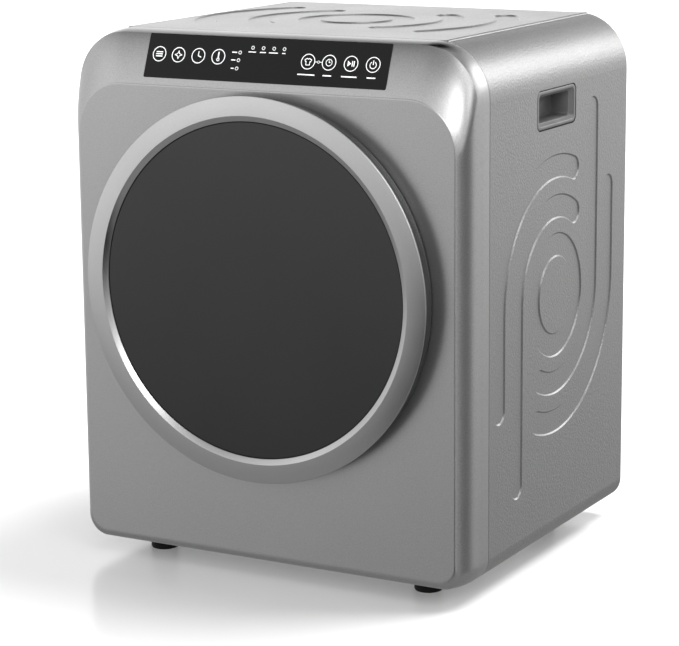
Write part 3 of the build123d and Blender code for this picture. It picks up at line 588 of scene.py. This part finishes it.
def make_glass_gap_shade():
    """Thin black ring between the glass and the ring's chamfer: painted shade standing in for the dark gap
    there.
    """
    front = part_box("door_glass")[0].y
    profile = [
        (GLASS_R - 1.5 * MM, front + 0.3 * MM), (GLASS_R - 1.4 * MM, front - 0.12 * MM),
        (GLASS_R - 0.1 * MM, front - 0.12 * MM), (GLASS_R - 0.1 * MM, front + 0.3 * MM),
    ]
    # painted shade: a near-black ring laid where the gap between glass and chamfer falls dark
    lathe("glass_gap_shade", profile, "door", RUBBER, steps=320)


def make_door_shell():
    """Body of the door: dark groove right behind the ring, round flank, ledge for the glass."""
    profile = [(radius * MM, FACE_Y + y * MM) for radius, y in DOOR_BODY]
    shell = lathe("door_shell_flank", profile, "door", SHELL)
    cut_box(shell, *HINGE_NOTCH)
    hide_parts("door_shell")


# ---------------------------------------------------------------- touch panel
# mm across the panel and up its slope; a lamp is (x, up, dash width) or (x, dash width)
PROGRAM_X = (-153, -125, -96, -67)
PROGRAM_UP = 31
ACTION_X = (60, 89, 119, 149)
ACTION_UP = 30.5
ICON_R = 9.2
LAMP_R = 1.9
LAMP_LINE = 0.95
SIDE_LAMPS = ((-37, 37.6, 6.5), (-37.5, 27.9, 5.5), (-38, 17.4, 3.6))
TOP_LAMPS = ((-20, 10), (-5, 8), (10, 12), (24.5, 4))
TOP_LAMPS_UP = 44.4
PRINT_OUT = 0.9 * MM


def on_slope(x, up, out=0.0):
    """Point on the leaning strip: x across, up along the slope, out along its normal."""
    lean = sqrt(SLOPE_Y**2 + SLOPE_Z**2)
    y = FACE_Y + STEP_Y + up * SLOPE_Y / lean - out * SLOPE_Z / lean
    z = BASE_Z + STEP_Z + up * SLOPE_Z / lean + out * SLOPE_Y / lean
    return Vector((x, y, z))


def flat_marks(name, shapes):
    """Thin printed shapes on the glass, in the print material with its painted glow; each shape is an
    outline of (x, up) points in mm.
    """
    verts = []
    faces = []
    for loop in shapes:
        start = len(verts)
        verts += [on_slope(x * MM, up * MM, PRINT_OUT) for x, up in loop]
        faces.append(tuple(range(start, start + len(loop))))
    new_piece(name, verts, faces, "cabinet", PRINT_PAINTED_GLOW)


def stroke(points, width, closed=False):
    """Quads along a line of points, as a printed line of that width."""
    quads = []
    ends = points[1:] + points[:1] if closed else points[1:]
    for a, b in zip(points, ends):
        a = Vector(a)
        b = Vector(b)
        along = (b - a).normalized()
        across = Vector((-along.y, along.x)) * width / 2
        a = a - along * width * 0.25
        b = b + along * width * 0.25
        quads.append([a - across, b - across, b + across, a + across])
    return quads


def circle_points(cx, cy, radius, start=0.0, end=360.0, steps=48):
    """Points of an arc from start to end, in degrees."""
    points = []
    for k in range(steps + 1):
        a = radians(start) + radians(end - start) * k / steps
        points.append((cx + radius * cos(a), cy + radius * sin(a)))
    return points


def ring_mark(cx, cy, radius, width):
    """A printed circle."""
    return stroke(circle_points(cx, cy, radius)[:-1], width, closed=True)


def moved(points, cx, cy, size=1.0):
    """A shape drawn about 0, 0, put in its place."""
    return [(cx + x * size, cy + y * size) for x, y in points]


def program_icons():
    """Lines, star, clock and thermometer, each in a ring."""
    lines_x, star_x, clock_x, heat_x = PROGRAM_X
    marks = []
    for x in PROGRAM_X:
        marks += ring_mark(x, PROGRAM_UP, ICON_R, 1.15)
    for lift in (-2.7, 0, 2.7):
        marks += stroke([(lines_x - 4.5, PROGRAM_UP + lift), (lines_x + 4.5, PROGRAM_UP + lift)], 1.3)
    star = [(0, 5.2), (1.4, 1.4), (5.2, 0), (1.4, -1.4), (0, -5.2), (-1.4, -1.4), (-5.2, 0), (-1.4, 1.4)]
    marks += stroke(moved(star, star_x, PROGRAM_UP), 0.9, closed=True)
    marks += stroke(moved([(0, 5.4), (0, 0), (4.2, -1.6)], clock_x, PROGRAM_UP), 1.2)
    marks += stroke(moved([(0, 5.6), (0, -2)], heat_x, PROGRAM_UP), 1.8)
    marks += ring_mark(heat_x, PROGRAM_UP - 3.4, 1.7, 1.5)
    return marks


def action_icons():
    """Shirt, clock face, play with pause, and power, each in a ring, and a linking dot."""
    shirt_x, timer_x, play_x, power_x = ACTION_X
    marks = []
    for x in ACTION_X:
        marks += ring_mark(x, ACTION_UP, ICON_R, 1.05)
    shirt = [
        (-1.6, 4.2), (-5, 2.6), (-4, -0.4), (-2.8, 0.2), (-2.8, -4.6), (2.8, -4.6), (2.8, 0.2), (4, -0.4),
        (5, 2.6), (1.6, 4.2), (0, 3.2),
    ]
    marks += stroke(moved(shirt, shirt_x, ACTION_UP, 0.92), 0.9, closed=True)
    marks += ring_mark(timer_x, ACTION_UP, 4.1, 1.0)
    marks += stroke(moved([(0, 2.6), (0, 0), (1.8, 0)], timer_x, ACTION_UP), 0.8)
    marks.append(moved([(-4.6, -3.6), (0.2, 0), (-4.6, 3.6)], play_x, ACTION_UP))
    for x in (1.8, 4.2):
        marks += stroke(moved([(x, -3.1), (x, 3.1)], play_x, ACTION_UP), 1.3)
    marks += stroke(circle_points(power_x, ACTION_UP - 0.5, 4.2, 125, 415, 32), 1.1)
    marks += stroke(moved([(0, 0.1), (0, 5.1)], power_x, ACTION_UP), 1.1)
    link_x = (shirt_x + timer_x) / 2
    for x in (-4.5, 1.9):
        marks += stroke(moved([(x, 0), (x + 2.6, 0)], link_x, ACTION_UP), 0.7)
    marks += ring_mark(link_x, ACTION_UP, 1.5, 0.6)
    return marks


def dashes_and_lamps():
    """Dashes in place of words, and small ring lamps with a dash beside or below each."""
    marks = []
    for x, width in zip(ACTION_X, (23, 11, 20, 11)):
        marks += stroke([(x - width / 2, 14.2), (x + width / 2, 14.2)], 1.5)
    for x, up, width in SIDE_LAMPS:
        marks += ring_mark(x, up, LAMP_R, LAMP_LINE)
        marks += stroke([(x - 4.6 - width, up), (x - 4.6, up)], 1.3)
    for x, width in TOP_LAMPS:
        marks += ring_mark(x, TOP_LAMPS_UP, LAMP_R, LAMP_LINE)
        marks += stroke([(x - width / 2, 39), (x + width / 2, 39)], 1.2)
    return marks


def make_icons():
    flat_marks("panel_icons", program_icons() + action_icons() + dashes_and_lamps())


# ---------------------------------------------------------------- stage, lights, camera
FLOOR_HALF = 40.0
FLOOR_SHADES = (0.555, 0.575)
FLOOR_ROUGH = 0.2
FLOOR_GLOW = 0.12


def make_stage():
    """Wide pale floor with a faint sheen."""
    sides = ((-1, -1), (1, -1), (1, 1), (-1, 1))
    mesh = bpy.data.meshes.new("floor")
    mesh.from_pydata([(x * FLOOR_HALF, y * FLOOR_HALF, 0) for x, y in sides], [], [(0, 1, 2, 3)])
    floor = bpy.data.objects.new("floor", mesh)
    scene.collection.objects.link(floor)
    material, tree, bsdf = shader("pale_floor")
    low, high = [grey(shade) for shade in FLOOR_SHADES]
    tree.links.new(mottled(tree, noise(tree, 3.0), low, high), bsdf.inputs["Base Color"])
    bsdf.inputs["Roughness"].default_value = FLOOR_ROUGH
    bsdf.inputs["Emission Color"].default_value = (1, 1, 1, 1)
    bsdf.inputs["Emission Strength"].default_value = FLOOR_GLOW
    floor.data.materials.append(material)
    floor.visible_glossy = False


def towards(azimuth, elevation):
    """Unit vector; azimuth in degrees from +X towards +Y, elevation above the floor."""
    a = radians(azimuth)
    e = radians(elevation)
    return (cos(a) * cos(e), sin(a) * cos(e), sin(e))


# (height of the direction, brightness of the studio), from straight down to straight up
STUDIO_LEVELS = (
    (-1.0, 0.35), (-0.45, 0.40), (-0.29, 0.48), (-0.21, 0.80), (-0.11, 1.22), (0.0, 1.25),
    (0.2, 1.12), (0.36, 1.24), (0.44, 1.26), (0.54, 0.84), (0.66, 0.48), (0.8, 0.34), (0.9, 0.4),
    (1.0, 0.7),
)
# soft boxes and dark flags: azimuth, elevation, inner and outer half-angle, how much is added
STUDIO_PATCHES = (
    (61, 20, 5, 17, 4.0),
    (220, 34, 8, 24, 0.4),
    (278, 17, 5, 13, 3.0),
    (292, 25, 7, 14, 6.0),
    (322, 52, 8, 18, 2.5),
    (336, 27, 6, 17, 2.2),
    (6, 38, 4, 14, 3.0),
    (73, 74, 4, 15, 2.4),
    (120, 6, 7, 18, 0.75),
    (66, -8, 7, 18, -0.15),
    (220, 1, 6, 20, 0.35),
    (238, 8, 3, 10, 1.0),
    (106, 33, 8, 19, -0.6),
    (118, 38, 9, 19, -0.6),
    (200, 62, 8, 20, -0.35),
    (262, -13, 6, 17, -0.75),
    (285, -12, 10, 22, -0.9),
)
# flag on the right that takes away a share of what is there, in the same order
STUDIO_FLAG = (-4, -3, 14, 34, 0.86)
# a colour ramp holds nothing brighter than 1, so levels are stored as shares of this
BRIGHTEST = 2.0
SUN_ENERGY = 4.0
SUN_WIDTH = 24
SUN_PLACE = (45, 62)
FILM_WIDTH = 36
LENS = 130.06
CAMERA_AWAY = 2.978
AIM = Vector((0.1094, FACE_Y, BASE_Z + 0.3202))


def make_world():
    """Soft studio all round: levels by height, then boxes and flags added one by one."""
    world = bpy.data.worlds.new("studio")
    scene.world = world
    world.use_nodes = True
    tree = world.node_tree
    ray = tree.nodes.new("ShaderNodeTexCoord").outputs["Generated"]
    split = tree.nodes.new("ShaderNodeSeparateXYZ")
    tree.links.new(ray, split.inputs[0])
    height = spread(tree, split.outputs["Z"], 0.0, 1.0)
    height.node.inputs["From Min"].default_value = -1.0
    stops = [((z + 1) / 2, grey(level / BRIGHTEST)) for z, level in STUDIO_LEVELS]
    total = combine(tree, "MULTIPLY", ramp(tree, height, stops), BRIGHTEST)
    for shape in STUDIO_PATCHES:
        total = combine(tree, "ADD", total, patch(tree, ray, *shape))
    kept = combine(tree, "SUBTRACT", 1.0, patch(tree, ray, *STUDIO_FLAG))
    total = combine(tree, "MULTIPLY", total, kept)
    tree.nodes["Background"].inputs["Color"].default_value = (1, 1, 1, 1)
    tree.links.new(total, tree.nodes["Background"].inputs["Strength"])


def combine(tree, operation, a, b):
    """One step of arithmetic on numbers or sockets."""
    made = tree.nodes.new("ShaderNodeMath")
    made.operation = operation
    for socket, value in zip(made.inputs, (a, b)):
        if isinstance(value, float):
            socket.default_value = value
        else:
            tree.links.new(value, socket)
    return made.outputs[0]


def patch(tree, ray, azimuth, elevation, inner, outer, amount):
    """Soft-edged round patch of light or dark in one direction."""
    facing = tree.nodes.new("ShaderNodeVectorMath")
    facing.operation = "DOT_PRODUCT"
    tree.links.new(ray, facing.inputs[0])
    facing.inputs[1].default_value = towards(azimuth, elevation)
    level = spread(tree, facing.outputs["Value"], 0.0, amount)
    level.node.interpolation_type = "SMOOTHSTEP"
    level.node.inputs["From Min"].default_value = cos(radians(outer))
    level.node.inputs["From Max"].default_value = cos(radians(inner))
    return level


def make_lights():
    """The studio and one wide lamp from behind on the right, which gives the floor its shadow."""
    make_world()
    data = bpy.data.lights.new("overhead", "SUN")
    data.energy = SUN_ENERGY
    data.angle = radians(SUN_WIDTH)
    light = bpy.data.objects.new("overhead", data)
    scene.collection.objects.link(light)
    light.rotation_euler = Vector(towards(*SUN_PLACE)).to_track_quat("Z", "Y").to_euler()
    light.visible_glossy = False
    scene.view_settings.view_transform = "Standard"


def make_camera():
    """Long lens in front on the right, a little above the middle, barely rolled."""
    azimuth = radians(29.2)
    elevation = radians(12.14)
    roll = radians(-0.54)
    back = Vector((sin(azimuth) * cos(elevation), -cos(azimuth) * cos(elevation), sin(elevation)))
    data = bpy.data.cameras.new("camera")
    data.sensor_width = FILM_WIDTH
    data.lens = LENS
    camera = bpy.data.objects.new("camera", data)
    scene.collection.objects.link(camera)
    camera.location = AIM + back * CAMERA_AWAY
    turn = (-back).to_track_quat("-Z", "Y").to_matrix().to_4x4()
    camera.rotation_euler = (turn @ Matrix.Rotation(roll, 4, "Z")).to_euler()
    scene.camera = camera


dress_cad_nodes()
make_front_shell()
make_top_edge_rolls()
make_seam_bead()
make_handle("handle_bezel_right", "handle_cup_right", 1)
make_handle("handle_bezel_left", "handle_cup_left", -1)
make_door_ring()
make_glass_gap_shade()
make_door_shell()
make_icons()
make_stage()
make_lights()
make_camera()
